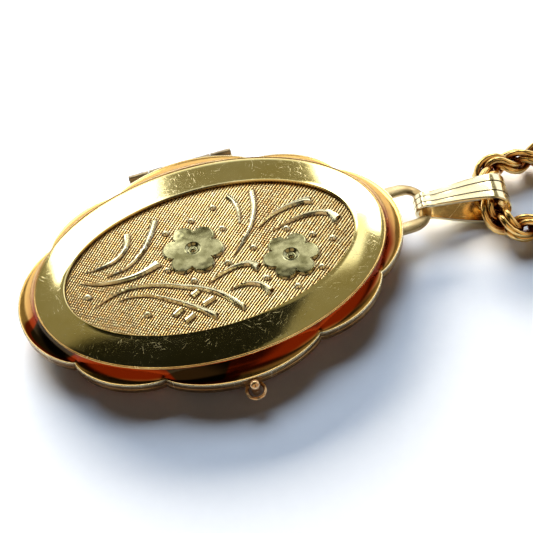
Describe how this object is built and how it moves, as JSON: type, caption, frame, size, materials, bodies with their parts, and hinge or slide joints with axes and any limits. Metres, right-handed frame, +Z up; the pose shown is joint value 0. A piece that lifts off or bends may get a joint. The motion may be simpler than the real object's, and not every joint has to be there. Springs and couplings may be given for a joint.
{
  "type": "locket necklace",
  "caption": "Scalloped oval locket with hinged covers, engraved flower panel and picture frames, on a swinging bail and a rope chain with a bolt-ring clasp.",
  "frame": {"origin": "middle of the locket's flat back, which lies on the surface", "axes": "+Z up through the closed covers, +X along the locket's length towards the bail, +Y across it towards the hinge"},
  "size_m": [0.0852, 0.0414, 0.005],
  "materials": {
    "polished_gold": "polished rolled gold on brass with fine wear scratches",
    "brushed_gold": "satin gold wash",
    "engraved_gold": "finely lined and cross-lined gold with bright raised flowers and leaves",
    "chain_gold": "polished wire links",
    "picture_card": "matt cream card, blank",
    "clear_window": "clear thin window",
    "steel": "drawn wire"
  },
  "bodies": {
    "necklace": {"bail": "polished_gold", "chain_run": "chain_gold", "chain_tail": "chain_gold", "chain_coil": "chain_gold", "first_end_cap": "polished_gold", "second_end_cap": "polished_gold", "catch_link": "polished_gold", "clasp_link": "polished_gold", "clasp_body": "polished_gold", "clasp_spring": "steel"},
    "clasp_bolt": {"clasp_bolt": "polished_gold"},
    "locket_back": {"back_cover": "polished_gold", "catch_ring": "polished_gold", "loop": "polished_gold", "back_picture_rim": "brushed_gold", "back_picture_frame": "polished_gold", "back_window": "clear_window", "back_picture_card": "picture_card", "back_knuckle_left": "brushed_gold", "back_knuckle_middle": "brushed_gold", "back_knuckle_right": "brushed_gold", "hinge_pin": "steel"},
    "locket_front": {"front_cover": "polished_gold", "front_panel": "engraved_gold", "catch_post": "polished_gold", "front_picture_rim": "brushed_gold", "front_picture_frame": "polished_gold", "front_window": "clear_window", "front_picture_card": "picture_card", "front_knuckle_left": "brushed_gold", "front_knuckle_right": "brushed_gold"}
  },
  "joints": [
    {"name": "bail_swing", "type": "hinge", "parent": "necklace", "child": "locket_back", "pos_m": [0.01955, -0.00035, 0.0019], "axis": [0, 1, 0], "range_deg": [-100, 100]},
    {"name": "cover_hinge", "type": "hinge", "parent": "locket_back", "child": "locket_front", "pos_m": [0, 0.01235, 0.0019], "axis": [-1, 0, 0], "range_deg": [0, 172]},
    {"name": "bolt_draw", "type": "hinge", "parent": "necklace", "child": "clasp_bolt", "pos_m": [0.04695, -0.0256, 0.00137], "axis": [0, 0, -1], "range_deg": [0, 50], "stiffness_Nm_per_rad": 0.002, "springref_deg": -11.46}
  ]
}
